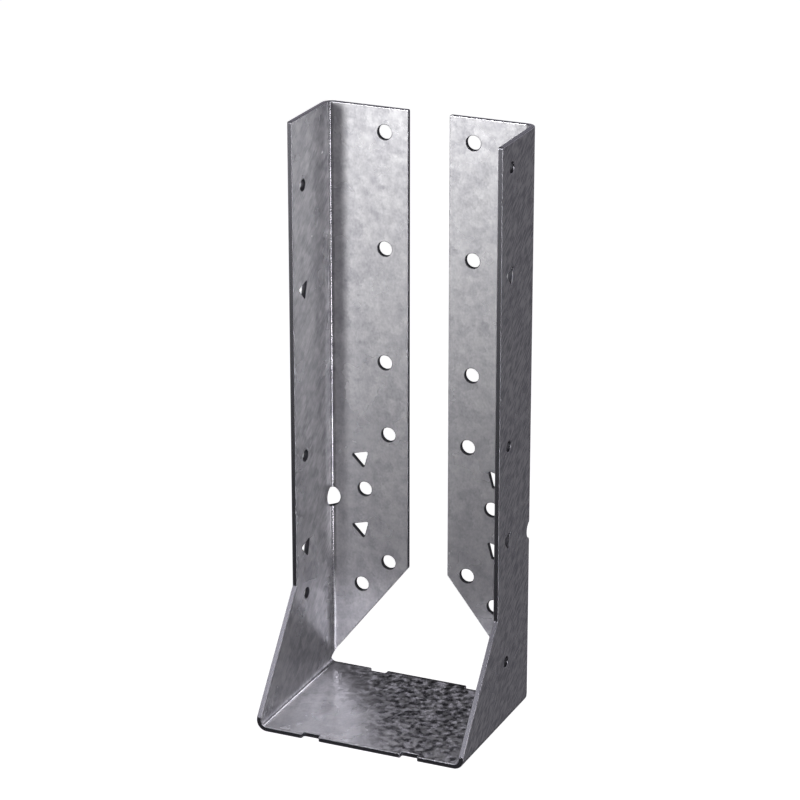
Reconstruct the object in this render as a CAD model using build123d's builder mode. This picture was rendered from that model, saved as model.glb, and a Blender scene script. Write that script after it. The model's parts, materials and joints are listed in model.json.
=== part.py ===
from build123d import *
import math
import os

# A face-mounted joist hanger with turned-in nailing flanges. It is one punched blank of
# galvanised steel sheet, folded twice along the seat and twice along the flanges.
# Millimetres. X runs across the joist, Y from the open front to the header, Z up.
# The origin is the middle of the footprint, on the underside of the seat.

# Sheet and folds
SHEET = 1.9
INSIDE_RADIUS = 2.1
NEUTRAL_SHARE = 0.45

# Overall sizes
JOIST_WIDTH = 79.4
HEIGHT = 225.7
DEPTH = 65.0
FLANGE_GAP = 16.2

# Side plates
PLATE_DEPTH = 33.1
GUSSET_HEIGHT = 45.7
GUSSET_TOE = 5.1

# Slanted lower end of each flange: its height at the free edge and its fall towards the fold
FLANGE_CUT_HEIGHT = 46.1
FLANGE_CUT_FALL = 1.283

# Corner relief where the seat fold and the flange fold meet
RELIEF_HEIGHT = 3.6
SEAT_SETBACK = 1.9
SEAT_CORNER_CUT = 1.7

# Round nail holes in the flanges: distance from the middle of the hanger, and height.
# The upper row hangs from the top edge and goes on down while it stays above its floor.
FLANGE_HOLE_DIAMETER = 5.6
TOP_HOLE_MARGIN = 9.3
UPPER_ROW_OFFSET = 17.45
UPPER_ROW_PITCH = 44.4
UPPER_ROW_FLOOR = 120.0
LOWER_ROW_OFFSET = 16.1
LOWER_ROW_HEIGHTS = (99.1, 47.2)
FOLD_ROW_HOLES = ((25.9, 75.7), (27.3, 36.4))

# Three-sided optional nail holes
TRIANGLE_RADIUS = 4.1
TRIANGLE_CORNER = 0.5
TRIANGLE_TURN = 15.0
FLANGE_TRIANGLE_OFFSET = 27.4
FLANGE_TRIANGLE_HEIGHTS = (88.1, 59.5)

# Joist nail holes in the side plates. The left row is lower by the stagger, so that no two
# nails meet. The top hole hangs from the top edge and the upper three-sided one from it; the
# lower two heights are those of the left plate.
PLATE_HOLE_DIAMETER = 4.2
PLATE_HOLE_SETBACK = 24.6
PLATE_STAGGER = 16.4
PLATE_TRIANGLE_DROP = 39.8
PLATE_LOWER_ROUND = 95.2
PLATE_LOWER_TRIANGLE = 58.4
PLATE_LOWEST_LEFT = 39.6
PLATE_LOWEST_RIGHT = 26.2

# Round hole punched across each flange fold before folding
FOLD_HOLE_DIAMETER = 7.6
FOLD_HOLE_HEIGHT = 70.8
FOLD_SECTIONS = 6

# Carrier notches in the front and back edges of the seat
NOTCH_OFFSET = 19.8
NOTCH_WIDTH = 6.7
NOTCH_DEPTH = 2.2
NOTCH_CORNER = 0.5

# Places that follow from the sizes above
OUTSIDE_RADIUS = INSIDE_RADIUS + SHEET
HALF_INSIDE = JOIST_WIDTH / 2
HALF_WIDTH = HALF_INSIDE + SHEET
FRONT = -DEPTH / 2
BACK = DEPTH / 2
FOLD_X = HALF_WIDTH - OUTSIDE_RADIUS
FOLD_Y = BACK - OUTSIDE_RADIUS
FOLD_LENGTH = math.radians(90) * (INSIDE_RADIUS + NEUTRAL_SHARE * SHEET)
FREE_EDGE = FLANGE_GAP / 2
PLATE_FRONT = BACK - PLATE_DEPTH
SEAT_BACK = BACK - SEAT_SETBACK
CUT_AT_FOLD = FLANGE_CUT_HEIGHT - FLANGE_CUT_FALL * (FOLD_X - FREE_EDGE)
PUNCH_REACH = 2 * SHEET
HOLE_LINE = BACK - PLATE_HOLE_SETBACK
TOP_HOLE_HEIGHT = HEIGHT - TOP_HOLE_MARGIN
UPPER_ROW_COUNT = int((TOP_HOLE_HEIGHT - UPPER_ROW_FLOOR) / UPPER_ROW_PITCH) + 1


def fold_wedge(lower_edge, upper_edge):
    """Cutter that fills the right flange fold between two heights, given over the blank.

    Both functions take the distance along the blank from the middle of the fold, positive
    towards the flange, and every wall of the cutter stands square to the folded sheet.
    """
    with BuildPart() as wedge:
        for step in range(FOLD_SECTIONS + 1):
            share = step / FOLD_SECTIONS
            along = (share - 0.5) * FOLD_LENGTH
            low, high = lower_edge(along), upper_edge(along)
            turn = math.radians(90 * share)
            outward = (math.cos(turn), math.sin(turn), 0)
            forward = (-math.sin(turn), math.cos(turn), 0)
            with BuildSketch(Plane(origin=(FOLD_X, FOLD_Y, (low + high) / 2), x_dir=outward, z_dir=forward)):
                with Locations((OUTSIDE_RADIUS, 0)):
                    Rectangle(2 * OUTSIDE_RADIUS - INSIDE_RADIUS, high - low)
        loft()
    return wedge.part


def fold_hole_edge(along):
    """Half the height of the fold hole at a distance from the middle of the fold."""
    return math.sqrt((FOLD_HOLE_DIAMETER / 2) ** 2 - along**2)


def flange_cut_edge(along):
    """Height of the flange's slanted end where it runs on through the fold."""
    return CUT_AT_FOLD - FLANGE_CUT_FALL * (FOLD_LENGTH / 2 - along)


# Seat and side plates: a channel across the joist
with BuildPart() as channel:
    with BuildSketch(Plane.XZ.offset(-SEAT_BACK)):
        with BuildLine():
            outer = FilletPolyline(
                (-HALF_WIDTH, HEIGHT),
                (-HALF_WIDTH, 0),
                (HALF_WIDTH, 0),
                (HALF_WIDTH, HEIGHT),
                radius=OUTSIDE_RADIUS,
            )
            inner = FilletPolyline(
                (-HALF_INSIDE, HEIGHT),
                (-HALF_INSIDE, SHEET),
                (HALF_INSIDE, SHEET),
                (HALF_INSIDE, HEIGHT),
                radius=INSIDE_RADIUS,
            )
            Line(outer @ 0, inner @ 0)
            Line(outer @ 1, inner @ 1)
        make_face()
    extrude(amount=SEAT_BACK - FRONT)

    # Side view of the plates, with the sloping gusset at the front and the relief at the back
    with BuildSketch(Plane.YZ):
        with BuildLine():
            Polyline(
                (FRONT, 0),
                (FRONT, GUSSET_TOE),
                (PLATE_FRONT, GUSSET_HEIGHT),
                (PLATE_FRONT, HEIGHT),
                (FOLD_Y, HEIGHT),
                (FOLD_Y, RELIEF_HEIGHT),
                (SEAT_BACK, RELIEF_HEIGHT),
                (SEAT_BACK, 0),
                close=True,
            )
        make_face()
    extrude(amount=HALF_WIDTH, both=True, mode=Mode.INTERSECT)

    # The back corners of the seat fold are trimmed clear of the flange fold
    with BuildSketch(Plane.XY):
        for side in (-1, 1):
            with BuildLine():
                Polyline(
                    (side * FOLD_X, SEAT_BACK),
                    (side * HALF_WIDTH, SEAT_BACK - SEAT_CORNER_CUT),
                    (side * HALF_WIDTH, SEAT_BACK),
                    close=True,
                )
            make_face()
    extrude(amount=RELIEF_HEIGHT, mode=Mode.SUBTRACT)

    # Carrier notches in both free edges of the seat
    with BuildSketch(Plane.XY):
        with GridLocations(2 * NOTCH_OFFSET, SEAT_BACK - FRONT, 2, 2):
            with Locations((0, (SEAT_BACK + FRONT) / 2)):
                Rectangle(NOTCH_WIDTH, 2 * NOTCH_DEPTH)
        fillet(
            [v for v in vertices() if FRONT < v.Y < SEAT_BACK],
            radius=NOTCH_CORNER,
        )
    extrude(amount=SHEET, mode=Mode.SUBTRACT)

    # Joist nail holes, each row punched through its own plate
    for side, stagger, lowest in ((-1, 0, PLATE_LOWEST_LEFT), (1, PLATE_STAGGER, PLATE_LOWEST_RIGHT)):
        top_round = TOP_HOLE_HEIGHT - PLATE_STAGGER + stagger
        round_heights = (top_round, PLATE_LOWER_ROUND + stagger, lowest)
        triangle_heights = (top_round - PLATE_TRIANGLE_DROP, PLATE_LOWER_TRIANGLE + stagger)
        with BuildSketch(Plane.YZ):
            with Locations([(HOLE_LINE, z) for z in round_heights]):
                Circle(PLATE_HOLE_DIAMETER / 2)
        extrude(amount=side * (HALF_WIDTH + SHEET), mode=Mode.SUBTRACT)
        with BuildSketch(Plane.YZ):
            with Locations([(HOLE_LINE, z) for z in triangle_heights]):
                RegularPolygon(TRIANGLE_RADIUS, 3, rotation=180 - TRIANGLE_TURN)
            fillet(vertices(), radius=TRIANGLE_CORNER)
        extrude(amount=side * (HALF_WIDTH + SHEET), mode=Mode.SUBTRACT)

# Right flange with its fold, cut from the blank's slanted lower end
with BuildPart() as flange:
    with BuildSketch(Plane.XY.offset(RELIEF_HEIGHT)):
        with BuildLine():
            Polyline((FOLD_X, BACK), (FREE_EDGE, BACK), (FREE_EDGE, BACK - SHEET), (FOLD_X, BACK - SHEET))
            RadiusArc((FOLD_X, BACK), (HALF_WIDTH, FOLD_Y), OUTSIDE_RADIUS)
            RadiusArc((FOLD_X, BACK - SHEET), (HALF_INSIDE, FOLD_Y), INSIDE_RADIUS)
            Line((HALF_WIDTH, FOLD_Y), (HALF_INSIDE, FOLD_Y))
        make_face()
    extrude(amount=HEIGHT - RELIEF_HEIGHT)
    with BuildSketch(Plane.XZ.offset(-BACK)):
        with BuildLine():
            Polyline(
                (FREE_EDGE, 0),
                (FREE_EDGE, FLANGE_CUT_HEIGHT),
                (FOLD_X, CUT_AT_FOLD),
                (FOLD_X, 0),
                close=True,
            )
        make_face()
    extrude(amount=SHEET, mode=Mode.SUBTRACT)
    add(fold_wedge(lambda along: 0, flange_cut_edge), mode=Mode.SUBTRACT)

    # Nail holes through the flange
    with BuildSketch(Plane.XZ.offset(-BACK)):
        upper_middle = TOP_HOLE_HEIGHT - UPPER_ROW_PITCH * (UPPER_ROW_COUNT - 1) / 2
        with Locations((UPPER_ROW_OFFSET, upper_middle)):
            with GridLocations(UPPER_ROW_PITCH, UPPER_ROW_PITCH, 1, UPPER_ROW_COUNT):
                Circle(FLANGE_HOLE_DIAMETER / 2)
        with Locations([(LOWER_ROW_OFFSET, z) for z in LOWER_ROW_HEIGHTS], FOLD_ROW_HOLES):
            Circle(FLANGE_HOLE_DIAMETER / 2)
    extrude(amount=PUNCH_REACH, both=True, mode=Mode.SUBTRACT)
    with BuildSketch(Plane.XZ.offset(-BACK)):
        with Locations([(FLANGE_TRIANGLE_OFFSET, z) for z in FLANGE_TRIANGLE_HEIGHTS]):
            RegularPolygon(TRIANGLE_RADIUS, 3, rotation=TRIANGLE_TURN)
        fillet(vertices(), radius=TRIANGLE_CORNER)
    extrude(amount=PUNCH_REACH, both=True, mode=Mode.SUBTRACT)

# Punch for the hole across the right fold: the fold itself, then what lies past it on each wall
with BuildPart() as fold_punch:
    add(
        fold_wedge(
            lambda along: FOLD_HOLE_HEIGHT - fold_hole_edge(along),
            lambda along: FOLD_HOLE_HEIGHT + fold_hole_edge(along),
        )
    )
    for wall, start in ((Plane.XZ.offset(-BACK), FOLD_X), (Plane.YZ.offset(HALF_WIDTH), FOLD_Y)):
        with BuildSketch(wall):
            with Locations((start + FOLD_LENGTH / 2, FOLD_HOLE_HEIGHT)):
                Circle(FOLD_HOLE_DIAMETER / 2)
            with Locations((start, FOLD_HOLE_HEIGHT)):
                Rectangle(
                    FOLD_HOLE_DIAMETER,
                    FOLD_HOLE_DIAMETER,
                    align=(Align.MAX, Align.CENTER),
                    mode=Mode.INTERSECT,
                )
        extrude(amount=PUNCH_REACH, both=True)

# The whole hanger
with BuildPart() as hanger:
    add(channel.part)
    add(flange.part)
    add(flange.part.mirror(Plane.YZ))
    add(fold_punch.part, mode=Mode.SUBTRACT)
    add(fold_punch.part.mirror(Plane.YZ), mode=Mode.SUBTRACT)

hanger.part.label = "hanger"
os.makedirs("parts", exist_ok=True)
export_step(hanger.part, "parts/hanger.step")
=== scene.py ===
"""Joist hanger folded from one punched blank of galvanised sheet, on a plain pale floor."""

import json
import logging
import math
from dataclasses import dataclass, field
from enum import Enum

import bmesh
import bpy
import numpy as np
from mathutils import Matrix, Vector
from mathutils.geometry import delaunay_2d_cdt


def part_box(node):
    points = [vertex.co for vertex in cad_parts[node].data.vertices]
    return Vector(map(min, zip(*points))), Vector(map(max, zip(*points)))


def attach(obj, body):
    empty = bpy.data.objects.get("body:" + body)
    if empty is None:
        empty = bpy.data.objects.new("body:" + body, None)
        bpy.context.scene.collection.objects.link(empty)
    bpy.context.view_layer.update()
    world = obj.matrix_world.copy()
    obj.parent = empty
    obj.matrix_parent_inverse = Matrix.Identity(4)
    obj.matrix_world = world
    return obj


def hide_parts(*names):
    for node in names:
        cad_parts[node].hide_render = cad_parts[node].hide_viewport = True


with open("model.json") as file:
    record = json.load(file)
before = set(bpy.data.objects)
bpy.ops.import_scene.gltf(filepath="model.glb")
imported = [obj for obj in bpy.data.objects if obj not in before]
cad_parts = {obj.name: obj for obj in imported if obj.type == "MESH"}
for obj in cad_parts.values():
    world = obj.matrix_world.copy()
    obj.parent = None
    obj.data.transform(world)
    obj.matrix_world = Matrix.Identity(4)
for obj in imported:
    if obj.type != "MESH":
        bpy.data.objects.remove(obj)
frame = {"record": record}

LOG = logging.getLogger("joist_hanger")
METRES = 0.001  # one millimetre
RIGHT_ANGLE = math.radians(90)
WELD_MM = 1e-4  # points of the blank this near each other are one
ON_LINE_MM = 1e-5  # points this near a line lie on it
INSIDE_ONLY = 1  # Blender's number for the triangles that lie within the borders
MIDDLE_GREY = (0.5, 0.5, 0.5)  # what a noise texture's colour swings round

Socket = bpy.types.NodeSocket
Number = Socket | float
Span = tuple[float, float]
Three = tuple[float, float, float]


def linear(hex_colour: str) -> tuple[float, float, float, float]:
    """Turns an sRGB hex colour into linear light.

    Args:
        hex_colour: Six hex digits after a hash.

    Returns:
        Red, green, blue and a full alpha, as shader sockets take them.
    """
    shares = [int(hex_colour[i : i + 2], 16) / 255 for i in (1, 3, 5)]
    light = [s / 12.92 if s <= 0.04045 else ((s + 0.055) / 1.055) ** 2.4 for s in shares]
    return (*light, 1.0)


def in_metres(span: Span) -> Span:
    """Turns a span of millimetres into metres."""
    return (span[0] * METRES, span[1] * METRES)


def add_node(
    tree: bpy.types.NodeTree, kind: str, inputs: dict | None = None, **settings: object
) -> bpy.types.Node:
    """Adds a node, sets its options, and gives its inputs their values or links.

    Args:
        tree: Node tree that gets the node.
        kind: Blender's type name of the node.
        inputs: Value or output socket for each input, by the input's name or number.
        **settings: Options of the node itself.

    Returns:
        The new node.
    """
    node = tree.nodes.new(kind)
    for name, value in settings.items():
        setattr(node, name, value)
    for name, value in (inputs or {}).items():
        if isinstance(value, Socket):
            tree.links.new(value, node.inputs[name])
        else:
            node.inputs[name].default_value = value
    return node


class Shading:
    """Node tree of one new material, with short ways to add what the finishes share."""

    def __init__(self, name: str) -> None:
        """Makes the material, with an empty tree.

        Args:
            name: Common name of the finish.
        """
        self.material = bpy.data.materials.new(name)
        self.material.use_nodes = True
        self.tree = self.material.node_tree
        self.tree.nodes.clear()

    def node(self, kind: str, inputs: dict | None = None, **settings: object) -> bpy.types.Node:
        """Adds a node to the material's tree and returns it."""
        return add_node(self.tree, kind, inputs, **settings)

    def number(self, operation: str, *values: Number) -> Socket:
        """Adds a calculation with numbers.

        Args:
            operation: Blender's name of the calculation.
            *values: The numbers, in order.

        Returns:
            Its result.
        """
        return self.node("ShaderNodeMath", dict(enumerate(values)), operation=operation).outputs[0]

    def vector(self, operation: str, *values: Number | Three) -> Socket:
        """Adds a calculation with vectors.

        Args:
            operation: Blender's name of the calculation.
            *values: The vectors in order, or for SCALE a vector and a number.

        Returns:
            The vector, or the number that a dot product gives.
        """
        names = (0, "Scale") if operation == "SCALE" else (0, 1)
        inputs = dict(zip(names, values, strict=False))
        outputs = self.node("ShaderNodeVectorMath", inputs, operation=operation).outputs
        return outputs["Value" if operation == "DOT_PRODUCT" else "Vector"]

    def mapped(
        self, value: Socket, span: Span, ends: tuple[Number, Number] = (0.0, 1.0), curve: str = "LINEAR"
    ) -> Socket:
        """Adds a map from one span of numbers to another, held at its ends.

        Args:
            value: The number to map.
            span: Where the map starts and ends.
            ends: What it gives there.
            curve: Blender's name of the curve between.

        Returns:
            The mapped number.
        """
        inputs = {0: value, 1: span[0], 2: span[1], 3: ends[0], 4: ends[1]}
        return self.node("ShaderNodeMapRange", inputs, interpolation_type=curve).outputs[0]

    def mix(self, share: Number, first: Number, second: Number) -> Socket:
        """Adds a mix of two numbers and returns it."""
        return self.node("ShaderNodeMix", {0: share, 2: first, 3: second}).outputs[0]

    def blend(self, share: Number, first: Socket | str, second: Socket | str) -> Socket:
        """Adds a mix of two colours.

        Args:
            share: Share of the second colour.
            first: Colour, as a socket or in sRGB hex.
            second: Colour, as a socket or in sRGB hex.

        Returns:
            The mixed colour.
        """
        colours = [linear(c) if isinstance(c, str) else c for c in (first, second)]
        inputs = {0: share, 6: colours[0], 7: colours[1]}
        return self.node("ShaderNodeMix", inputs, data_type="RGBA").outputs[2]

    def noise(
        self, place: Socket, scale: float, detail: float = 2.0, roughness: float = 0.5
    ) -> bpy.types.Node:
        """Adds a soft noise and returns its node."""
        inputs = {"Vector": place, "Scale": scale, "Detail": detail, "Roughness": roughness}
        return self.node("ShaderNodeTexNoise", inputs)

    def attribute(self, name: str) -> Socket:
        """Adds the reading of one of the mesh's attributes and returns its value."""
        return self.node("ShaderNodeAttribute", attribute_name=name).outputs["Fac"]

    def finish(self, inputs: dict) -> bpy.types.Material:
        """Adds the shader and its output.

        Args:
            inputs: Inputs of the shader.

        Returns:
            The finished material.
        """
        shader = self.node("ShaderNodeBsdfPrincipled", inputs)
        self.node("ShaderNodeOutputMaterial", {"Surface": shader.outputs[0]})
        return self.material


class Punch(Enum):
    """Kinds of place on the blank. The value marks the place for the node tree."""

    OUTLINE = -1
    FLANGE_NAIL = 0
    JOIST_NAIL = 1
    FOLD = 2
    THREE_SIDED = 3


class Skin(Enum):
    """Kinds of surface on the hanger. The value is the number of its material."""

    SHEET = 0
    RIM = 1
    CUT = 2
    HOLE_WALL = 3


@dataclass(frozen=True)
class ZincPatterns:
    """Sockets of the patterns that the zinc's colour, gloss and lean share.

    The mesh gives outer, 1 on the sheet's outer face, and bend, 1 in the middle of a fold.
    """

    place: Socket
    facing: Socket
    lying: Socket
    standing: Socket
    outer: Socket
    bend: Socket
    grain: bpy.types.Node
    blotch: bpy.types.Node
    cloud: Socket
    crystal: Socket


@dataclass(frozen=True)
class GalvanisedSheet:
    """Hot-dip galvanised steel sheet: zinc frozen in soft crystals, each with its own grey and lean.

    A field with three values has one for the faces that look along x, y and z each, save that
    grain_mm, painted_shade_way and lean_axes have them for the axes. Most of a noise lies in noise_span.
    """

    dark: str = "#c2c2c7"
    light: str = "#fdfdfd"
    spangle_mm: float = 4.2
    spangle_wander: float = 0.7
    spangle_softness: float = 0.4
    blotch_mm: float = 2.6
    grain_mm: Three = (0.8, 4.5, 0.8)
    grain_slant: float = 40.0
    cloud_mm: float = 17.0
    noise_span: Span = (0.3, 0.7)
    cloud_share: float = 0.2
    blotch_share: float = 0.4
    crystal_share: float = 0.35
    streak_share: float = 0.6
    contrast: Three = (1.6, 1.1, 1.0)
    outer_contrast: float = 0.8
    # Colour of the dross lumps, also used for the painted shade on the seat and the painted shadow beside
    # the flange folds
    dross_and_shade: str = "#505056"
    painted_shade_way: Three = (1.0, 0.6, 0.0)
    painted_shade_mm: Span = (-24.0, 2.0)
    dross_stroke: Span = (0.42, 0.6)
    dross_depth: float = 0.92
    dross_lean: float = 1.3
    # Painted shadow beside the flange folds, where the plates shade the flanges
    painted_shadow_depth: float = 0.3
    painted_shadow_mm: Span = (31.0, 36.0)
    painted_shadow_height_mm: Span = (60.0, 150.0)
    speck: str = "#606064"
    speck_mm: float = 5.5
    speck_size: float = 0.12
    speck_depth: float = 0.2
    metal: float = 0.65
    smooth: float = 0.262
    rough: float = 0.278
    lean: Three = (0.25, 0.3, 0.4)
    lean_axes: Three = (0.25, 1.0, 0.25)
    lean_grain: float = 0.3
    bend_roughness: float = 0.17
    bend_metal: float = 0.75

    def material(self) -> bpy.types.Material:
        """Builds the material.

        Returns:
            Zinc whose crystals differ in grey and lean, with slanting grain, clouds, dross and specks,
            painted shade on the seat's right side and a painted shadow beside the flange folds.
        """
        nodes = Shading("hot_dip_galvanised_sheet")
        marks = self.patterns(nodes)
        dross_and_shade = self.dross_and_shade_mask(nodes, marks)
        colour = self.colour(nodes, marks, dross_and_shade)
        gloss = nodes.mapped(marks.cloud, self.noise_span, (self.rough, self.smooth))
        return nodes.finish(
            {
                "Base Color": colour,
                "Metallic": nodes.mapped(marks.bend, (0.0, 1.0), (self.metal, self.bend_metal)),
                "Roughness": nodes.mix(marks.bend, gloss, self.bend_roughness),
                "Normal": self.leaning(nodes, marks, dross_and_shade),
            }
        )

    def patterns(self, nodes: Shading) -> ZincPatterns:
        """Adds the patterns.

        Args:
            nodes: The material's nodes.

        Returns:
            Their sockets.
        """
        place = nodes.node("ShaderNodeTexCoord").outputs["Object"]
        slanted = nodes.node(
            "ShaderNodeMapping",
            {
                "Vector": place,
                "Rotation": (math.radians(self.grain_slant), 0.0, 0.0),
                "Scale": tuple(mm * METRES for mm in self.grain_mm),
            },
            vector_type="TEXTURE",
        )
        grain = nodes.noise(slanted.outputs[0], 1.0)
        # The crystals' edges wander, so the cells are looked up at slightly shifted places
        centred = nodes.vector("SUBTRACT", grain.outputs["Color"], MIDDLE_GREY)
        wander = nodes.vector("SCALE", centred, self.spangle_wander * self.spangle_mm * METRES)
        spangle = nodes.node(
            "ShaderNodeTexVoronoi",
            {
                "Vector": nodes.vector("ADD", place, wander),
                "Scale": 1 / (self.spangle_mm * METRES),
                "Smoothness": self.spangle_softness,
            },
            feature="SMOOTH_F1",
        )
        facing = nodes.vector("ABSOLUTE", nodes.node("ShaderNodeNewGeometry").outputs["True Normal"])
        ways = nodes.node("ShaderNodeSeparateXYZ", {0: facing}).outputs
        return ZincPatterns(
            place=place,
            facing=facing,
            lying=ways["Z"],
            standing=ways["Y"],
            outer=nodes.attribute("outer"),
            bend=nodes.attribute("bend"),
            grain=grain,
            blotch=nodes.noise(place, 1 / (self.blotch_mm * METRES)),
            cloud=nodes.noise(place, 1 / (self.cloud_mm * METRES), 3.0, 0.55).outputs["Fac"],
            crystal=nodes.node("ShaderNodeSeparateColor", {0: spangle.outputs["Color"]}).outputs["Red"],
        )

    def dross_and_shade_mask(self, nodes: Shading, marks: ZincPatterns) -> Socket:
        """Adds the mask of the dross and painted shade: the zinc ran to the seat's right side and set there
        in dark lumps, and that side is painted darker as shade.

        Args:
            nodes: The material's nodes.
            marks: The zinc's patterns.

        Returns:
            1 where dross and painted shade lie and 0 where neither does.
        """
        along = nodes.vector("DOT_PRODUCT", marks.place, self.painted_shade_way)
        run = nodes.mapped(along, in_metres(self.painted_shade_mm), curve="SMOOTHSTEP")
        return nodes.number("MULTIPLY", run, marks.lying)

    def colour(self, nodes: Shading, marks: ZincPatterns, dross_and_shade: Socket) -> Socket:
        """Adds the zinc's colour.

        Args:
            nodes: The material's nodes.
            marks: The zinc's patterns.
            dross_and_shade: Mask of the dross and the painted shade.

        Returns:
            The colour.
        """
        # Grey: the crystal's own, with soft blotches, fine grain and broad cloud
        grain, blotch = marks.grain.outputs["Fac"], marks.blotch.outputs["Fac"]
        soft = nodes.mix(self.blotch_share, nodes.mix(self.cloud_share, grain, marks.cloud), blotch)
        grey = nodes.mix(self.crystal_share, nodes.mapped(soft, self.noise_span), marks.crystal)
        # The outer face lay on the rolls, so its grain is coarser and its crystals hardly show
        streaky = nodes.mapped(grain, self.noise_span)
        zinc = nodes.mix(nodes.number("MULTIPLY", marks.outer, self.streak_share), grey, streaky)
        # The plates, seen at a slant, show their grain more than the flanges and the seat
        shown = nodes.vector("DOT_PRODUCT", marks.facing, self.contrast)
        coarse = nodes.number("MULTIPLY_ADD", marks.outer, self.outer_contrast, 1.0)
        gain = nodes.number("MULTIPLY", shown, coarse)
        spread = nodes.number("MULTIPLY_ADD", nodes.number("SUBTRACT", zinc, 0.5), gain, 0.5)
        clean = nodes.blend(spread, self.dark, self.light)
        # Dark dross lumps where the mask lies, so the seat's right and back side is also painted darker as
        # shade
        stroke = nodes.mapped(blotch, self.dross_stroke, (0.0, self.dross_depth))
        body = nodes.blend(nodes.number("MULTIPLY", dross_and_shade, stroke), clean, self.dross_and_shade)
        # Painted shadow: the flanges are darkened beside their folds, most of all in the upper half, where
        # the plates' shadow falls on them
        apart = nodes.node("ShaderNodeSeparateXYZ", {0: nodes.vector("ABSOLUTE", marks.place)}).outputs
        beside = nodes.mapped(apart["X"], in_metres(self.painted_shadow_mm), (0.0, self.painted_shadow_depth), "SMOOTHSTEP")
        upper = nodes.mapped(apart["Z"], in_metres(self.painted_shadow_height_mm))
        painted_shadow = nodes.number("MULTIPLY", nodes.number("MULTIPLY", beside, upper), marks.standing)
        shadowed_body = nodes.blend(painted_shadow, body, self.dross_and_shade)
        # Specks: one small dark dot in some of the cells
        cells = {"Vector": marks.place, "Scale": 1 / (self.speck_mm * METRES)}
        dots = nodes.node("ShaderNodeTexVoronoi", cells)
        own = nodes.node("ShaderNodeSeparateColor", {0: dots.outputs["Color"]}).outputs["Red"]
        reach = nodes.mapped(own, (0.5, 1.0), (0.0, self.speck_size))
        dot = nodes.number("LESS_THAN", dots.outputs["Distance"], reach)
        return nodes.blend(nodes.number("MULTIPLY", dot, self.speck_depth), shadowed_body, self.speck)

    def leaning(self, nodes: Shading, marks: ZincPatterns, dross_and_shade: Socket) -> Socket:
        """Adds the lean of the crystals, which is strongest in the dross.

        Args:
            nodes: The material's nodes.
            marks: The zinc's patterns.
            dross_and_shade: Mask of the dross and the painted shade.

        Returns:
            The normal that the light sees.
        """
        ripple = nodes.blend(self.lean_grain, marks.blotch.outputs["Color"], marks.grain.outputs["Color"])
        off = nodes.vector("SUBTRACT", ripple, MIDDLE_GREY)
        sway = nodes.vector("DOT_PRODUCT", marks.facing, self.lean)
        swell = nodes.number("MULTIPLY_ADD", dross_and_shade, self.dross_lean, sway)
        # The dies press the folds smooth, so they don't lean
        calm = nodes.mapped(marks.bend, (0.0, 1.0), (swell, 0.0))
        scaled = nodes.vector("SCALE", nodes.vector("MULTIPLY", off, self.lean_axes), calm)
        upright = nodes.node("ShaderNodeNewGeometry").outputs["Normal"]
        return nodes.vector("NORMALIZE", nodes.vector("ADD", upright, scaled))


@dataclass(frozen=True)
class PaintedHighlightRim:
    """Zinc round the rim: even, and painted brighter than the sheet as a highlight on the rounding."""

    # Painted highlight: the rim's colour is lighter than the sheet's so its thin rounding shines
    colour: str = "#e8e8ec"
    roughness: float = 0.28

    def material(self) -> bpy.types.Material:
        """Builds the material.

        Returns:
            Even zinc, painted bright as a highlight.
        """
        inputs = {"Base Color": linear(self.colour), "Metallic": 1.0, "Roughness": self.roughness}
        return Shading("rim_zinc_painted_highlight").finish(inputs)


@dataclass(frozen=True)
class ShearedEdge:
    """Bare mild steel where the press cut the sheet: darker than the zinc and faintly streaked."""

    name: str = "sheared_steel"
    dark: str = "#8a8a90"
    light: str = "#a0a0a6"
    streak_mm: float = 0.9
    metal: float = 0.92
    roughness: float = 0.22

    def material(self) -> bpy.types.Material:
        """Builds the material.

        Returns:
            Bare steel with a soft uneven grey.
        """
        nodes = Shading(self.name)
        place = nodes.node("ShaderNodeTexCoord").outputs["Object"]
        streak = nodes.noise(place, 1 / (self.streak_mm * METRES))
        body = nodes.blend(streak.outputs["Fac"], self.dark, self.light)
        return nodes.finish({"Base Color": body, "Metallic": self.metal, "Roughness": self.roughness})


@dataclass(frozen=True)
class PaleFloor:
    """Matt white studio floor that glows, so no shadow dims it."""

    colour: str = "#fbfbfb"
    roughness: float = 0.9
    glow: float = 1.0

    def material(self) -> bpy.types.Material:
        """Builds the material.

        Returns:
            Plain matt white.
        """
        return Shading("pale_floor").finish(
            {
                "Base Color": linear(self.colour),
                "Roughness": self.roughness,
                "Specular IOR Level": 0.0,
                "Emission Color": linear(self.colour),
                "Emission Strength": self.glow,
            }
        )


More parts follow.
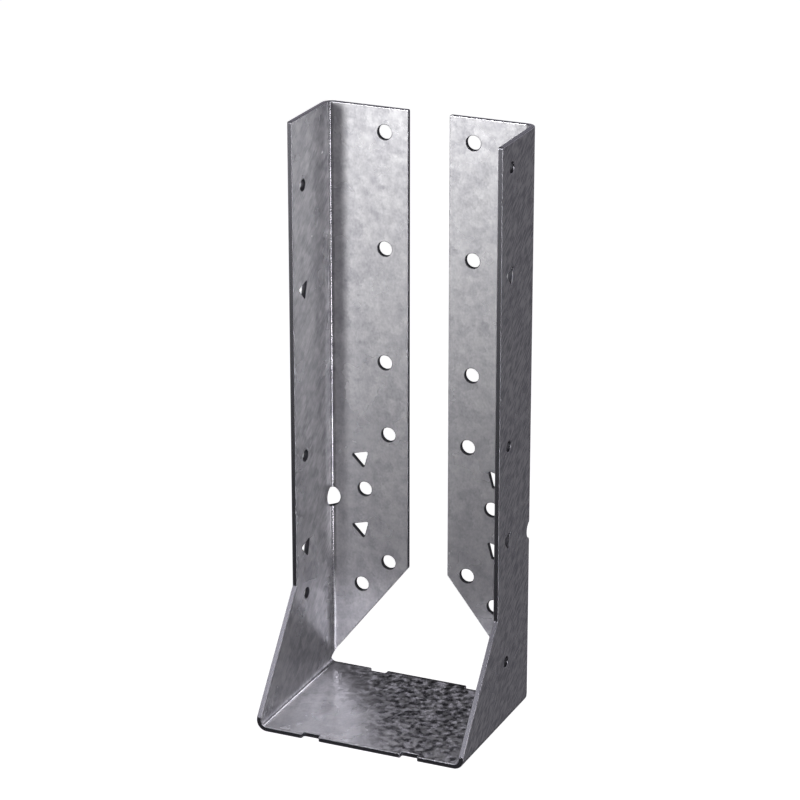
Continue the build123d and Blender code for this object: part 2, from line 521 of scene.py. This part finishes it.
@dataclass
class Folds:
    """The folds between the flat blank and the hanger, in millimetres.

    On the blank u runs across the seat and on up the plates, v runs from the open front to the
    back and on along the flanges, and n runs from the outer face of the sheet to the inner one.
    """

    half_width: float
    back: float
    sheet: float
    inside_radius: float = 2.1
    neutral_share: float = 0.45
    relief_height: float = 3.6
    relief_run: float = 0.6
    rows: int = 10

    @property
    def outside_radius(self) -> float:
        """Radius of the fold's outer face."""
        return self.inside_radius + self.sheet

    @property
    def fold_u(self) -> float:
        """Where the seat fold starts, which is also how far out the flange fold's axis lies."""
        return self.half_width - self.outside_radius

    @property
    def fold_v(self) -> float:
        """Where the flange fold starts."""
        return self.back - self.outside_radius

    @property
    def length(self) -> float:
        """Length of blank that one fold takes."""
        return RIGHT_ANGLE * (self.inside_radius + self.neutral_share * self.sheet)

    def u_at(self, z: float) -> float:
        """Place on the blank of a height on a plate."""
        return self.fold_u + self.length + z - self.outside_radius

    def v_at(self, x: float) -> float:
        """Place on the blank of a distance from the middle on a flange."""
        return self.fold_v + self.length + self.fold_u - x

    def row_places(self) -> tuple[list[float], list[float]]:
        """Places of the rows of vertices that let the blank bend.

        Returns:
            The u places for both seat folds, and the v places for the flange folds.
        """
        steps = [self.length * k / self.rows for k in range(self.rows + 1)]
        across = [side * (self.fold_u + s) for side in (-1, 1) for s in steps]
        return across, [self.fold_v + s for s in steps]

    def fold(self, points: np.ndarray, normals: np.ndarray) -> tuple[np.ndarray, np.ndarray]:
        """Folds points of the flat blank into the hanger.

        Args:
            points: Rows of u, v and n.
            normals: Unit normals of the same points on the flat blank.

        Returns:
            Rows of x, y and z, and the folded normals.
        """
        side = np.where(points[:, 0] < 0, -1.0, 1.0)
        u, v, n = np.abs(points[:, 0]), points[:, 1], points[:, 2]
        first = np.clip((u - self.fold_u) / self.length, 0, 1) * RIGHT_ANGLE
        radius = self.outside_radius - n
        x = np.minimum(u, self.fold_u) + radius * np.sin(first)
        z = self.outside_radius - radius * np.cos(first) + np.maximum(u - self.fold_u - self.length, 0)
        # Below the corner relief the seat runs straight on and the flange fold doesn't reach it
        relief = self.u_at(self.relief_height)
        share = np.clip((u - relief + self.relief_run) / self.relief_run, 0, 1)
        second = np.clip((v - self.fold_v) / self.length, 0, 1) * RIGHT_ANGLE
        reach = x - self.fold_u
        past = np.maximum(v - self.fold_v - self.length, 0)
        x_folded = self.fold_u + reach * np.cos(second) - past
        y_folded = np.minimum(v, self.fold_v) + reach * np.sin(second)
        x_out = x + share * (x_folded - x)
        y_out = v + share * (y_folded - v)
        place = np.column_stack((side * x_out, y_out, z))

        across, along, through = normals[:, 0] * side, normals[:, 1], normals[:, 2]
        nx = across * np.cos(first) - through * np.sin(first)
        nz = across * np.sin(first) + through * np.cos(first)
        turn = second * share
        mx = nx * np.cos(turn) - along * np.sin(turn)
        my = nx * np.sin(turn) + along * np.cos(turn)
        return place, np.column_stack((side * mx, my, nz))


@dataclass
class Blank:
    """The flat sheet as it leaves the punch press, in millimetres."""

    folds: Folds
    front: float
    height: float
    plate_depth: float = 33.1
    gusset_height: float = 45.7
    gusset_toe: float = 5.1
    flange_gap: float = 16.2
    flange_cut_height: float = 46.1
    flange_cut_fall: float = 1.283
    seat_setback: float = 1.9
    notch_offset: float = 19.8
    notch_width: float = 6.7
    notch_depth: float = 2.2
    corner: float = 0.5
    corner_steps: int = 3
    flange_nail: float = 5.6
    joist_nail: float = 4.2
    fold_hole: float = 7.6
    fold_hole_height: float = 70.8
    three_sided_reach: float = 4.1
    three_sided_corner: float = 0.5
    three_sided_steps: int = 6
    three_sided_turn: float = 15.0
    flange_three_sided: tuple[Span, ...] = ((27.4, 88.1), (27.4, 59.5))
    plate_three_sided: tuple[float, ...] = (160.2, 58.4)
    stagger: float = 16.4
    hole_line: float = 7.9
    round_segments: int = 48

    def outline(self) -> list[tuple[float, float]]:
        """Corners of the blank's outline.

        Returns:
            Places u and v in order round the blank.
        """
        f = self.folds
        seat_back = f.back - self.seat_setback
        near, far = self.notch_offset - self.notch_width / 2, self.notch_offset + self.notch_width / 2
        cut_v = f.v_at(self.flange_gap / 2)
        relief_u = f.u_at(f.relief_height)
        relief_v = cut_v - (self.flange_cut_height - f.relief_height) / self.flange_cut_fall
        half = [
            (near, self.front),
            (near, self.front + self.notch_depth),
            (far, self.front + self.notch_depth),
            (far, self.front),
            (f.u_at(self.gusset_toe), self.front),
            (f.u_at(self.gusset_height), f.back - self.plate_depth),
            (f.u_at(self.height), f.back - self.plate_depth),
            (f.u_at(self.height), cut_v),
            (f.u_at(self.flange_cut_height), cut_v),
            (relief_u, relief_v),
            (f.fold_u, seat_back),
            (far, seat_back),
            (far, seat_back - self.notch_depth),
            (near, seat_back - self.notch_depth),
            (near, seat_back),
        ]
        return half + [(-u, v) for u, v in reversed(half)]

    def places(self, mounts: list[dict]) -> list[tuple[float, float, Punch, float]]:
        """Every hole of the blank: the nail holes of the record's mounts, and the holes without a mount.

        Args:
            mounts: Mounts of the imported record.

        Returns:
            For each hole its place u and v, its punch and its turn in degrees.
        """
        found = []
        for mount in mounts:
            if "hole_r_mm" not in mount["dims"] and "r_mm" not in mount["dims"]:
                continue
            x, _, z = (c / METRES for c in mount["pos_m"])
            apart_x = mount["dims"].get("spacing_x_mm", 0.0) / 2
            apart_z = mount["dims"].get("spacing_y_mm", 0.0) / 2
            for dz in sorted({-apart_z, apart_z}):
                if mount["axis"][0]:
                    side = math.copysign(1, x)
                    found.append((side * self.folds.u_at(z + dz), self.hole_line, Punch.JOIST_NAIL, 0.0))
                else:
                    u, v = self.folds.u_at(z + dz), self.folds.v_at(x + apart_x)
                    found += [(u, v, Punch.FLANGE_NAIL, 0.0), (-u, v, Punch.FLANGE_NAIL, 0.0)]
        fold_v = self.folds.fold_v + self.folds.length / 2
        for side in (-1, 1):
            # The right side's three-sided holes are the left side's in a mirror
            turn = self.three_sided_turn if side < 0 else -60 - self.three_sided_turn
            found.append((side * self.folds.u_at(self.fold_hole_height), fold_v, Punch.FOLD, 0.0))
            for x, z in self.flange_three_sided:
                found.append((side * self.folds.u_at(z), self.folds.v_at(x), Punch.THREE_SIDED, turn))
            for z in self.plate_three_sided:
                u = self.folds.u_at(z + self.stagger * (side + 1) / 2)
                found.append((side * u, self.hole_line, Punch.THREE_SIDED, turn))
        return found

    def tree(self) -> bpy.types.NodeTree:
        """Builds the node tree that punches the blank.

        Returns:
            A tree that takes the outline and the marked places, and gives the filled blank.
        """
        tree = bpy.data.node_groups.new("Punched blank", "GeometryNodeTree")
        face = tree.interface
        face.new_socket("Blank", in_out="OUTPUT", socket_type="NodeSocketGeometry")
        face.new_socket("Outline and places", in_out="INPUT", socket_type="NodeSocketGeometry")
        for name in (
            "Flange nail hole",
            "Joist nail hole",
            "Fold hole",
            "Three-sided reach",
            "Three-sided corner",
            "Outline corner",
        ):
            face.new_socket(name, in_out="INPUT", socket_type="NodeSocketFloat")
        face.new_socket("Round segments", in_out="INPUT", socket_type="NodeSocketInt")
        face.new_socket("Sheet", in_out="INPUT", socket_type="NodeSocketMaterial")
        given = add_node(tree, "NodeGroupInput").outputs
        read = "GeometryNodeInputNamedAttribute"
        punch = add_node(tree, read, {"Name": "punch"}, data_type="INT").outputs[0]
        turn = add_node(tree, read, {"Name": "turn"}, data_type="FLOAT").outputs[0]
        turned = add_node(tree, "ShaderNodeCombineXYZ", {"Z": turn})

        def marked(kind: Punch) -> Socket:
            """Selection of the places that one punch takes."""
            test = {2: punch, 3: kind.value}
            return add_node(tree, "FunctionNodeCompare", test, data_type="INT", operation="EQUAL").outputs[0]

        edge = add_node(
            tree, "GeometryNodeSeparateGeometry", {0: given["Outline and places"], 1: marked(Punch.OUTLINE)}
        )
        line = add_node(tree, "GeometryNodeMeshToCurve", {0: edge.outputs[0]})
        rim = add_node(
            tree,
            "GeometryNodeFilletCurve",
            {
                "Curve": line.outputs[0],
                "Radius": given["Outline corner"],
                "Count": self.corner_steps,
                "Limit Radius": True,
            },
            mode="POLY",
        )
        cuts = []
        for kind, size in (
            (Punch.FLANGE_NAIL, "Flange nail hole"),
            (Punch.JOIST_NAIL, "Joist nail hole"),
            (Punch.FOLD, "Fold hole"),
        ):
            radius = add_node(tree, "ShaderNodeMath", {0: given[size], 1: 0.5}, operation="MULTIPLY")
            ring = {"Resolution": given["Round segments"], "Radius": radius.outputs[0]}
            cuts.append((kind, add_node(tree, "GeometryNodeCurvePrimitiveCircle", ring).outputs[0]))
        sharp = add_node(
            tree, "GeometryNodeCurvePrimitiveCircle", {"Resolution": 3, "Radius": given["Three-sided reach"]}
        )
        blunt = add_node(
            tree,
            "GeometryNodeFilletCurve",
            {
                "Curve": sharp.outputs[0],
                "Radius": given["Three-sided corner"],
                "Count": self.three_sided_steps,
            },
            mode="POLY",
        )
        cuts.append((Punch.THREE_SIDED, blunt.outputs[0]))
        all_lines = add_node(tree, "GeometryNodeJoinGeometry")
        tree.links.new(rim.outputs[0], all_lines.inputs[0])
        for kind, shape in cuts:
            stamped = add_node(
                tree,
                "GeometryNodeInstanceOnPoints",
                {
                    "Points": given["Outline and places"],
                    "Selection": marked(kind),
                    "Instance": shape,
                    "Rotation": turned.outputs[0],
                },
            )
            tree.links.new(stamped.outputs[0], all_lines.inputs[0])
        loose = add_node(tree, "GeometryNodeRealizeInstances", {0: all_lines.outputs[0]})
        filled = add_node(tree, "GeometryNodeFillCurve", {0: loose.outputs[0]}, mode="TRIANGLES")
        real = add_node(tree, "GeometryNodeRealizeInstances", {0: filled.outputs[0]})
        dressed = add_node(
            tree, "GeometryNodeSetMaterial", {"Geometry": real.outputs[0], "Material": given["Sheet"]}
        )
        add_node(tree, "NodeGroupOutput", {"Blank": dressed.outputs[0]})
        return tree

    def mesh(self, mounts: list[dict], sheet: bpy.types.Material) -> bpy.types.Mesh:
        """Punches the blank.

        Args:
            mounts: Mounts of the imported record.
            sheet: Material of the sheet.

        Returns:
            The flat blank as a plain mesh, one face thick, in millimetres.
        """
        outline = self.outline()
        holes = self.places(mounts)
        mesh = bpy.data.meshes.new("blank_places")
        edges = [(i, (i + 1) % len(outline)) for i in range(len(outline))]
        mesh.from_pydata([(u, v, 0) for u, v in outline] + [(u, v, 0) for u, v, _, _ in holes], edges, [])
        punch = mesh.attributes.new("punch", "INT", "POINT")
        punch.data.foreach_set("value", [Punch.OUTLINE.value] * len(outline) + [h[2].value for h in holes])
        turn = mesh.attributes.new("turn", "FLOAT", "POINT")
        turn.data.foreach_set("value", [0.0] * len(outline) + [math.radians(h[3]) for h in holes])
        flat = bpy.data.objects.new("blank_places", mesh)
        bpy.context.scene.collection.objects.link(flat)
        modifier = flat.modifiers.new("Punched blank", "NODES")
        modifier.node_group = self.tree()
        sizes = {
            "Flange nail hole": self.flange_nail,
            "Joist nail hole": self.joist_nail,
            "Fold hole": self.fold_hole,
            "Three-sided reach": self.three_sided_reach,
            "Three-sided corner": self.three_sided_corner,
            "Outline corner": self.corner,
            "Round segments": self.round_segments,
            "Sheet": sheet,
        }
        for item in modifier.node_group.interface.items_tree:
            if item.in_out == "INPUT" and item.name in sizes:
                modifier[item.identifier] = sizes[item.name]
        graph = bpy.context.evaluated_depsgraph_get()
        made = bpy.data.meshes.new_from_object(flat.evaluated_get(graph))
        bpy.data.objects.remove(flat)
        bpy.data.meshes.remove(mesh)
        return made


@dataclass
class HangerBody:
    """The hanger itself: the blank given its thickness and rounded edges, then folded."""

    folds: Folds
    blank: Blank
    edge_round: float = 0.26
    edge_steps: int = 3
    sheet_finish: GalvanisedSheet = field(default_factory=GalvanisedSheet)
    rim_finish: PaintedHighlightRim = field(default_factory=PaintedHighlightRim)
    edge_finish: ShearedEdge = field(default_factory=ShearedEdge)
    # Painted shade: the hole walls are the same bare steel as the cut edges but painted much darker, as the
    # shade inside the holes; their higher roughness is their own
    shaded_hole_finish: ShearedEdge = ShearedEdge("hole_wall_steel_painted_shade", "#3c3c40", "#505055", metal=0.3, roughness=0.7)

    def loops(self, flat: bpy.types.Mesh) -> list[np.ndarray]:
        """Reads the edges of the punched blank.

        Args:
            flat: The blank, one face thick.

        Returns:
            For each closed edge its points u and v in order, with the sheet on their left.
        """
        sheet = bmesh.new()
        sheet.from_mesh(flat)
        bmesh.ops.remove_doubles(sheet, verts=sheet.verts, dist=WELD_MM)
        if sum(f.normal.z * f.calc_area() for f in sheet.faces) < 0:
            bmesh.ops.reverse_faces(sheet, faces=sheet.faces)
        after = {}
        for edge in sheet.edges:
            if edge.is_boundary:
                loop = edge.link_loops[0]
                after[loop.vert.index] = loop.link_loop_next.vert.index
        places = {v.index: (v.co.x, v.co.y) for v in sheet.verts}
        sheet.free()
        found = []
        while after:
            start = here = next(iter(after))
            loop = []
            while here in after:
                loop.append(places[here])
                here = after.pop(here)
            if here != start:
                raise RuntimeError("the blank has an open edge")
            found.append(np.array(loop))
        return found

    def rims(self, loop: np.ndarray) -> tuple[list[np.ndarray], list[np.ndarray]]:
        """Rounds one edge of the sheet.

        Args:
            loop: The edge's points in order, with the sheet on their left.

        Returns:
            Rings of points from the outer face round the edge to the inner face, and their normals.
        """
        ahead = np.roll(loop, -1, axis=0) - loop
        length = np.linalg.norm(ahead, axis=1)
        unit = ahead / length[:, None]
        inward = np.column_stack((-unit[:, 1], unit[:, 0]))
        before, weight = np.roll(inward, 1, axis=0), np.roll(length, 1)
        mitre = (before + inward) / (1 + np.sum(before * inward, axis=1))[:, None]
        mean = before * weight[:, None] + inward * length[:, None]
        mean /= np.linalg.norm(mean, axis=1)[:, None]
        sheet, radius = self.folds.sheet, self.edge_round
        points, normals = [], []
        for face in (-1, 1):
            for step in range(self.edge_steps + 1):
                turn = RIGHT_ANGLE * (step if face < 0 else self.edge_steps - step) / self.edge_steps
                depth = radius * (1 - math.cos(turn))
                n = depth if face < 0 else sheet - depth
                flat = loop + mitre * radius * (1 - math.sin(turn))
                points.append(np.column_stack((flat, np.full(len(loop), n))))
                up = np.full(len(loop), face * math.cos(turn))
                normals.append(np.column_stack((-mean * math.sin(turn), up)))
        return points, normals

    def solid(self, flat: bpy.types.Mesh) -> bmesh.types.BMesh:
        """Gives the blank its thickness, with rounded edges, and the rows that let it bend.

        Args:
            flat: The blank, one face thick.

        Returns:
            The closed flat sheet in millimetres. Its layer flat_normal holds the normals, bend marks
            the folds and outer marks the outer face.
        """
        sheet = bmesh.new()
        layer = sheet.verts.layers.float_vector.new("flat_normal")
        bottom, top, borders, hole_of = [], [], [], []
        for number, loop in enumerate(self.loops(flat), 1):
            # With the sheet on its left, a hole's edge runs clockwise
            area = np.sum(loop[:, 0] * np.roll(loop[:, 1], -1) - loop[:, 1] * np.roll(loop[:, 0], -1)) / 2
            hole_of += [number if area < 0 else 0] * len(loop)
            points, normals = self.rims(loop)
            rings = []
            for ring, ring_normals in zip(points, normals, strict=True):
                verts = [sheet.verts.new(p) for p in ring]
                for vert, normal in zip(verts, ring_normals, strict=True):
                    vert[layer] = Vector(normal)
                rings.append(verts)
            count = len(loop)
            for level, (low, high) in enumerate(zip(rings, rings[1:], strict=False)):
                for i in range(count):
                    j = (i + 1) % count
                    face = sheet.faces.new((low[i], low[j], high[j], high[i]))
                    if area < 0:
                        # The punch drew zinc in from the outer face only, so round a hole that rounding gets
                        # the rim's painted highlight and the wall and inner rounding the hole wall's painted
                        # shade
                        skin = Skin.RIM if level < self.edge_steps else Skin.HOLE_WALL
                    else:
                        skin = Skin.CUT if level == self.edge_steps else Skin.RIM
                    face.material_index = skin.value
            borders += [(len(bottom) + i, len(bottom) + (i + 1) % count) for i in range(count)]
            bottom += rings[0]
            top += rings[-1]
        flat_points = [Vector(v.co[:2]) for v in bottom]
        _, _, triangles, origins, _, _ = delaunay_2d_cdt(flat_points, borders, [], INSIDE_ONLY, ON_LINE_MM)
        for triangle in triangles:
            a, b, c = (origins[i][0] for i in triangle)
            if hole_of[a] and hole_of[a] == hole_of[b] == hole_of[c]:
                continue
            sheet.faces.new((top[a], top[b], top[c]))
            sheet.faces.new((bottom[c], bottom[b], bottom[a]))
        across, along = self.folds.row_places()
        for axis, rows in ((0, across), (1, along)):
            direction = Vector((axis == 0, axis == 1, 0))
            for row in rows:
                everything = [*sheet.verts, *sheet.edges, *sheet.faces]
                bmesh.ops.bisect_plane(
                    sheet, geom=everything, dist=ON_LINE_MM, plane_co=direction * row, plane_no=direction
                )
        # The dies press a fold smooth, most of all in its middle
        bend = sheet.verts.layers.float.new("bend")
        for vert in sheet.verts:
            past = (abs(vert.co.x) - self.folds.fold_u, vert.co.y - self.folds.fold_v)
            shares = (min(max(p / self.folds.length, 0.0), 1.0) for p in past)
            vert[bend] = max(math.sin(math.pi * share) for share in shares)
        outer = sheet.faces.layers.float.new("outer")
        for face in sheet.faces:
            face[outer] = float(face.calc_center_median().z < self.folds.sheet / 2)
        return sheet

    def build(self, mounts: list[dict]) -> bpy.types.Object:
        """Builds the folded hanger.

        Args:
            mounts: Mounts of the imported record.

        Returns:
            The dressed hanger, in metres, in the model's own frame.
        """
        finishes = {
            Skin.SHEET: self.sheet_finish,
            Skin.RIM: self.rim_finish,
            Skin.CUT: self.edge_finish,
            Skin.HOLE_WALL: self.shaded_hole_finish,
        }
        materials = [finishes[skin].material() for skin in Skin]
        flat = self.blank.mesh(mounts, materials[Skin.SHEET.value])
        sheet = self.solid(flat)
        bpy.data.meshes.remove(flat)
        layer = sheet.verts.layers.float_vector["flat_normal"]
        points = np.array([v.co[:] for v in sheet.verts])
        normals = np.array([v[layer][:] for v in sheet.verts])
        normals /= np.linalg.norm(normals, axis=1)[:, None]
        places, turned = self.folds.fold(points, normals)
        for vert, place in zip(sheet.verts, places * METRES, strict=True):
            vert.co = place
        sheet.verts.layers.float_vector.remove(layer)
        for face in sheet.faces:
            face.smooth = True
        mesh = bpy.data.meshes.new("folded_hanger")
        sheet.to_mesh(mesh)
        sheet.free()
        for material in materials:
            mesh.materials.append(material)
        mesh.normals_split_custom_set_from_vertices(turned.tolist())
        piece = bpy.data.objects.new("folded_hanger", mesh)
        bpy.context.scene.collection.objects.link(piece)
        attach(piece, "root")
        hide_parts("hanger")
        return piece


class LampKind(Enum):
    """Kinds of studio light, by Blender's own names."""

    SOFT_BOX = "AREA"
    SPOT = "SPOT"


@dataclass(frozen=True)
class Lamp:
    """One studio light. A spot throws a round pool of light that fades towards its rim."""

    name: str
    kind: LampKind
    place: Three
    aim: Three
    size: Span
    watts: float
    pool: float = 0.0
    colour: Three = (1.0, 1.0, 1.0)

    def add(self) -> bpy.types.Object:
        """Puts the light in the scene.

        Returns:
            The lamp, turned towards its aim.
        """
        light = bpy.data.lights.new(self.name, self.kind.value)
        light.energy = self.watts
        light.color = self.colour
        if self.kind is LampKind.SPOT:
            light.spot_size = 2 * math.atan(self.pool / math.dist(self.place, self.aim))
            light.spot_blend = 1.0
            light.shadow_soft_size = self.size[0] / 2
        else:
            light.shape = "RECTANGLE"
            light.size, light.size_y = self.size
        lamp = bpy.data.objects.new(self.name, light)
        lamp.location = self.place
        lamp.rotation_euler = (Vector(self.aim) - Vector(self.place)).to_track_quat("-Z", "Y").to_euler()
        bpy.context.scene.collection.objects.link(lamp)
        return lamp


MIDDLE = (0.0, 0.0, 0.11)
SEAT_MIDDLE = (0.0, -0.017, 0.025)
FILL = (0.965, 0.94, 1.0)
KEY_PLACE = (-0.281, -1.176, 0.285)
LAMPS = (
    Lamp("front_key", LampKind.SPOT, KEY_PLACE, (-0.058, 0.03, 0.246), (0.16, 0.16), 48.0, pool=0.20),
    Lamp("key_spill", LampKind.SOFT_BOX, KEY_PLACE, (0.0, 0.03, 0.18), (0.14, 0.14), 2.6, colour=FILL),
    Lamp("middle_box", LampKind.SOFT_BOX, (0.235, -0.875, 0.533), MIDDLE, (0.3, 0.3), 1.95, colour=FILL),
    Lamp("right_box", LampKind.SOFT_BOX, (0.583, -0.694, 0.533), MIDDLE, (0.3, 0.3), 1.15, colour=FILL),
    Lamp("left_box", LampKind.SOFT_BOX, (-0.573, -0.819, 0.145), MIDDLE, (0.3, 0.3), 0.2, colour=FILL),
    Lamp("low_strip", LampKind.SOFT_BOX, (0.778, -0.545, -0.22), MIDDLE, (0.05, 0.45), 0.85, colour=FILL),
    Lamp("top_strip", LampKind.SOFT_BOX, (-0.46, -0.62, 0.74), SEAT_MIDDLE, (0.45, 0.16), 0.4, colour=FILL),
)
# The room's light before and behind the object, each with its height: -1 is down and 1 is up
FRONT_ROOM = ((-1.0, 0.005), (-0.5, 0.01), (-0.4, 0.04), (-0.3, 0.04), (-0.15, 0.005), (1.0, 0.005))
BACK_ROOM = (
    (-1.0, 0.04),
    (-0.5, 0.077),
    (-0.2, 0.077),
    (-0.05, 0.36),
    (0.27, 0.59),
    (0.35, 0.01),
    (1.0, 0.005),
)


@dataclass
class Studio:
    """Camera, floor, surroundings and lights, in metres and degrees."""

    camera_place: Three = (0.4622, -1.0404, 0.5523)
    camera_pitch: float = 20.53
    camera_yaw: float = 23.852
    lens_mm: float = 151.14
    sensor_mm: float = 36.0
    floor_side: float = 12.0
    floor_drop: float = 0.0001
    floor_finish: PaleFloor = field(default_factory=PaleFloor)
    lamps: tuple[Lamp, ...] = LAMPS
    front_room: tuple[Span, ...] = FRONT_ROOM
    back_room: tuple[Span, ...] = BACK_ROOM
    room_seam: float = 0.1
    room_tint: Three = (0.915, 0.885, 1.0)
    backdrop: str = "#ffffff"

    def add_camera(self) -> bpy.types.Object:
        """Adds the camera.

        Returns:
            The scene's camera, at the photograph's angle.
        """
        lens = bpy.data.cameras.new("camera")
        lens.lens, lens.sensor_width = self.lens_mm, self.sensor_mm
        camera = bpy.data.objects.new("camera", lens)
        camera.location = self.camera_place
        camera.rotation_euler = (math.radians(90 - self.camera_pitch), 0.0, math.radians(self.camera_yaw))
        bpy.context.scene.collection.objects.link(camera)
        bpy.context.scene.camera = camera
        return camera

    def add_floor(self) -> bpy.types.Object:
        """Adds the floor.

        Returns:
            A plain plane just under the seat.
        """
        half = self.floor_side / 2
        mesh = bpy.data.meshes.new("floor")
        corners = [(-half, -half), (half, -half), (half, half), (-half, half)]
        mesh.from_pydata([(x, y, -self.floor_drop) for x, y in corners], [], [(0, 1, 2, 3)])
        mesh.materials.append(self.floor_finish.material())
        floor = bpy.data.objects.new("floor", mesh)
        # The room and the lamps, one of them from below, stand for the floor's light on the metal
        floor.visible_glossy = False
        floor.visible_diffuse = False
        floor.visible_shadow = False
        bpy.context.scene.collection.objects.link(floor)
        return floor

    def add_ramp(self, tree: bpy.types.NodeTree, height: Socket, stops: tuple[Span, ...]) -> Socket:
        """Adds the light of one half of the room.

        Args:
            tree: The world's node tree.
            height: Height of a direction, 0 straight down and 1 straight up.
            stops: Heights from -1 to 1 in rising order, each with its light.

        Returns:
            Colour of the light from that height.
        """
        ramp = add_node(tree, "ShaderNodeValToRGB", {"Fac": height})
        elements = ramp.color_ramp.elements
        elements[0].position, elements[1].position = (stops[0][0] + 1) / 2, (stops[-1][0] + 1) / 2
        for level, _ in stops[1:-1]:
            elements.new((level + 1) / 2)
        for element, (_, light) in zip(elements, stops, strict=True):
            element.color = (*(light * share for share in self.room_tint), 1.0)
        return ramp.outputs[0]

    def add_surroundings(self) -> bpy.types.World:
        """Adds the surroundings.

        Returns:
            A world that is white behind the object and a dim grey room in its reflections.
        """
        world = bpy.data.worlds.new("studio")
        world.use_nodes = True
        tree = world.node_tree
        tree.nodes.clear()
        path = add_node(tree, "ShaderNodeLightPath")
        place = add_node(tree, "ShaderNodeTexCoord")
        split = add_node(tree, "ShaderNodeSeparateXYZ", {0: place.outputs["Generated"]})
        height = add_node(tree, "ShaderNodeMapRange", {0: split.outputs["Z"], 1: -1.0, 2: 1.0})
        # The front half of the room runs into the back half over a narrow seam
        seam = {0: split.outputs["Y"], 1: -self.room_seam, 2: self.room_seam}
        depth = add_node(tree, "ShaderNodeMapRange", seam)
        room = add_node(
            tree,
            "ShaderNodeMix",
            {
                0: depth.outputs[0],
                6: self.add_ramp(tree, height.outputs[0], self.front_room),
                7: self.add_ramp(tree, height.outputs[0], self.back_room),
            },
            data_type="RGBA",
        )
        seen = add_node(
            tree,
            "ShaderNodeMix",
            {0: path.outputs["Is Camera Ray"], 6: room.outputs[2], 7: linear(self.backdrop)},
            data_type="RGBA",
        )
        background = add_node(tree, "ShaderNodeBackground", {"Color": seen.outputs[2], "Strength": 1.0})
        add_node(tree, "ShaderNodeOutputWorld", {"Surface": background.outputs[0]})
        bpy.context.scene.world = world
        return world

    def build(self) -> None:
        """Sets up the whole studio."""
        self.add_camera()
        self.add_floor()
        self.add_surroundings()
        for lamp in self.lamps:
            lamp.add()
        bpy.context.scene.view_settings.view_transform = "Standard"


def main() -> None:
    """Builds the studio and the hanger."""
    logging.basicConfig(level=logging.INFO, format="%(name)s: %(message)s")
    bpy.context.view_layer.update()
    mounts = frame["record"]["mounts"]
    seat = next(m for m in mounts if m["name"] == "joist_seat")
    low, high = (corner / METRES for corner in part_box("hanger"))
    Studio().build()
    LOG.info("studio: camera, floor, surroundings and lights")
    folds = Folds(half_width=high.x, back=high.y, sheet=seat["pos_m"][2] / METRES)
    blank = Blank(folds=folds, front=low.y, height=high.z)
    piece = HangerBody(folds=folds, blank=blank).build(mounts)
    LOG.info("%s: %d faces in one closed sheet", piece.name, len(piece.data.polygons))


if __name__ == "__main__":
    main()
